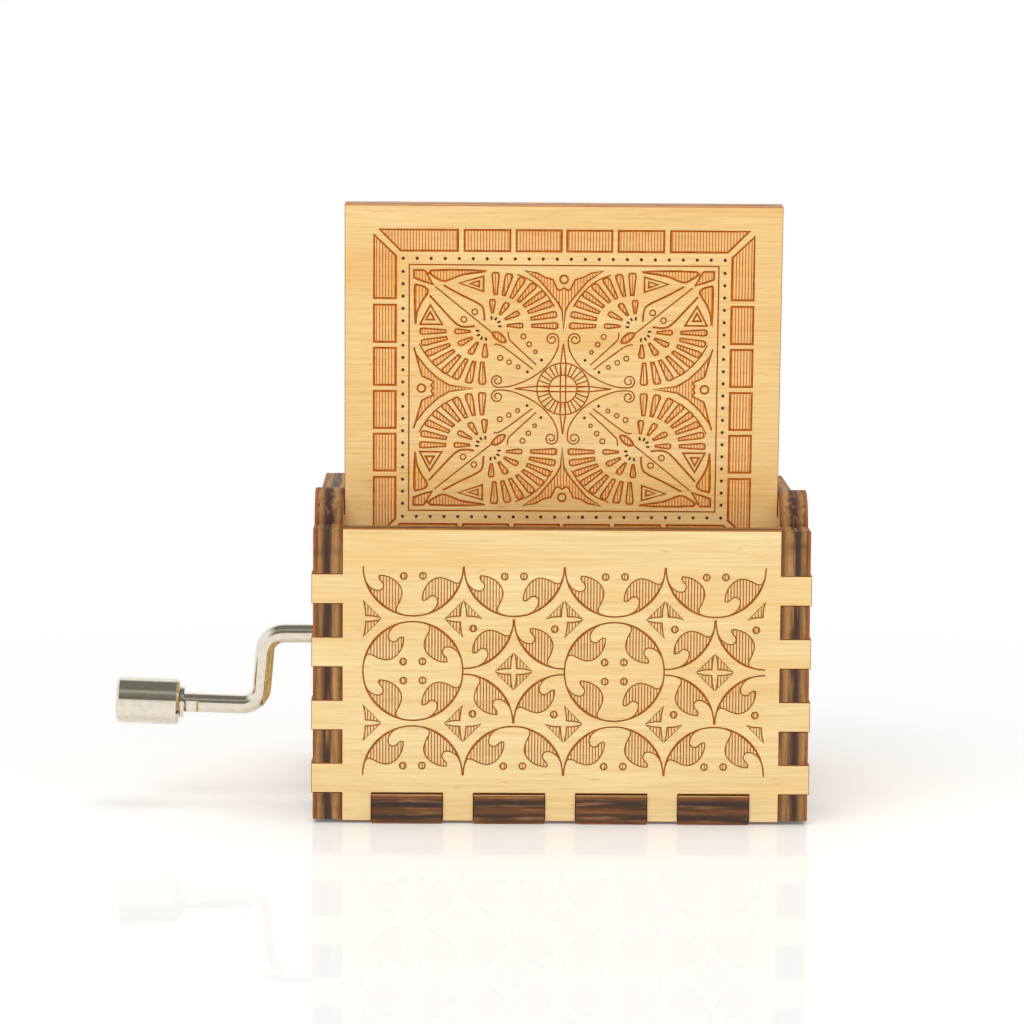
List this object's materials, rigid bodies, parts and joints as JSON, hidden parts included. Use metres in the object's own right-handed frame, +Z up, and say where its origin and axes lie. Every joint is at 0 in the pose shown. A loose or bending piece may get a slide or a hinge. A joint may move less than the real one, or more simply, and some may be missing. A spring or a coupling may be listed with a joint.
{
  "type": "hand cranked music box",
  "caption": "Small plywood box with a hinged lid and a side crank that turns a pinned drum against a steel comb.",
  "frame": {"origin": "on the floor, under the middle of the plywood case", "axes": "+Z up; +Y from the hinge side to the front of the case; +X towards the right-hand wall seen from the hinge side, so the crank leaves towards -X"},
  "size_m": [0.0901, 0.052, 0.0794],
  "materials": {
    "plywood": "sanded birch plywood with laser-burnt edges and engraving",
    "cast_zinc": "die-cast zinc, satin",
    "plain_steel": "drawn steel",
    "screws": "zinc-plated steel",
    "spring_steel": "ground and tempered steel",
    "lead": "dull lead",
    "brass": "turned brass",
    "nylon": "moulded natural nylon",
    "nickel_plate": "bright nickel plate"
  },
  "bodies": {
    "case": {"rear_panel": "plywood", "front_panel": "plywood", "left_side_wall": "plywood", "right_side_wall": "plywood", "base_plate": "plywood", "bedplate": "cast_zinc", "drum_bracket": "plain_steel", "bracket_screw": "screws", "comb": "spring_steel", "comb_weights": "lead", "comb_screws": "screws", "mounting_screws": "screws"},
    "lid": {"lid": "plywood"},
    "crank": {"crank_rod": "nickel_plate", "worm": "brass", "crank_clip": "spring_steel", "knob_washer": "nickel_plate"},
    "knob": {"crank_knob": "nickel_plate", "knob_bush": "nylon"},
    "drum": {"drum_shell": "brass", "drum_cap_rear": "brass", "drum_cap_front": "brass", "drum_pins": "plain_steel", "drum_arbor": "plain_steel", "worm_wheel": "nylon"}
  },
  "joints": [
    {"name": "lid_hinge", "type": "hinge", "parent": "case", "child": "lid", "pos_m": [0, -0.0161, 0.0377], "axis": [1, 0, 0], "range_deg": [-94.3, 62]},
    {"name": "crank_spin", "type": "hinge", "parent": "case", "child": "crank", "pos_m": [0, -0.0136, 0.0228], "axis": [1, 0, 0], "continuous": true},
    {"name": "knob_spin", "type": "hinge", "parent": "crank", "child": "knob", "pos_m": [-0.0392, -0.01132, 0.01293], "axis": [-0.9994, -0.0079, 0.034], "continuous": true},
    {"name": "drum_spin", "type": "hinge", "parent": "case", "child": "drum", "pos_m": [-0.014, 0, 0.0153], "axis": [0, 1, 0], "continuous": true}
  ],
  "couplings": [
    {"joint": "drum_spin", "follows": "crank_spin", "ratio": -0.05}
  ]
}
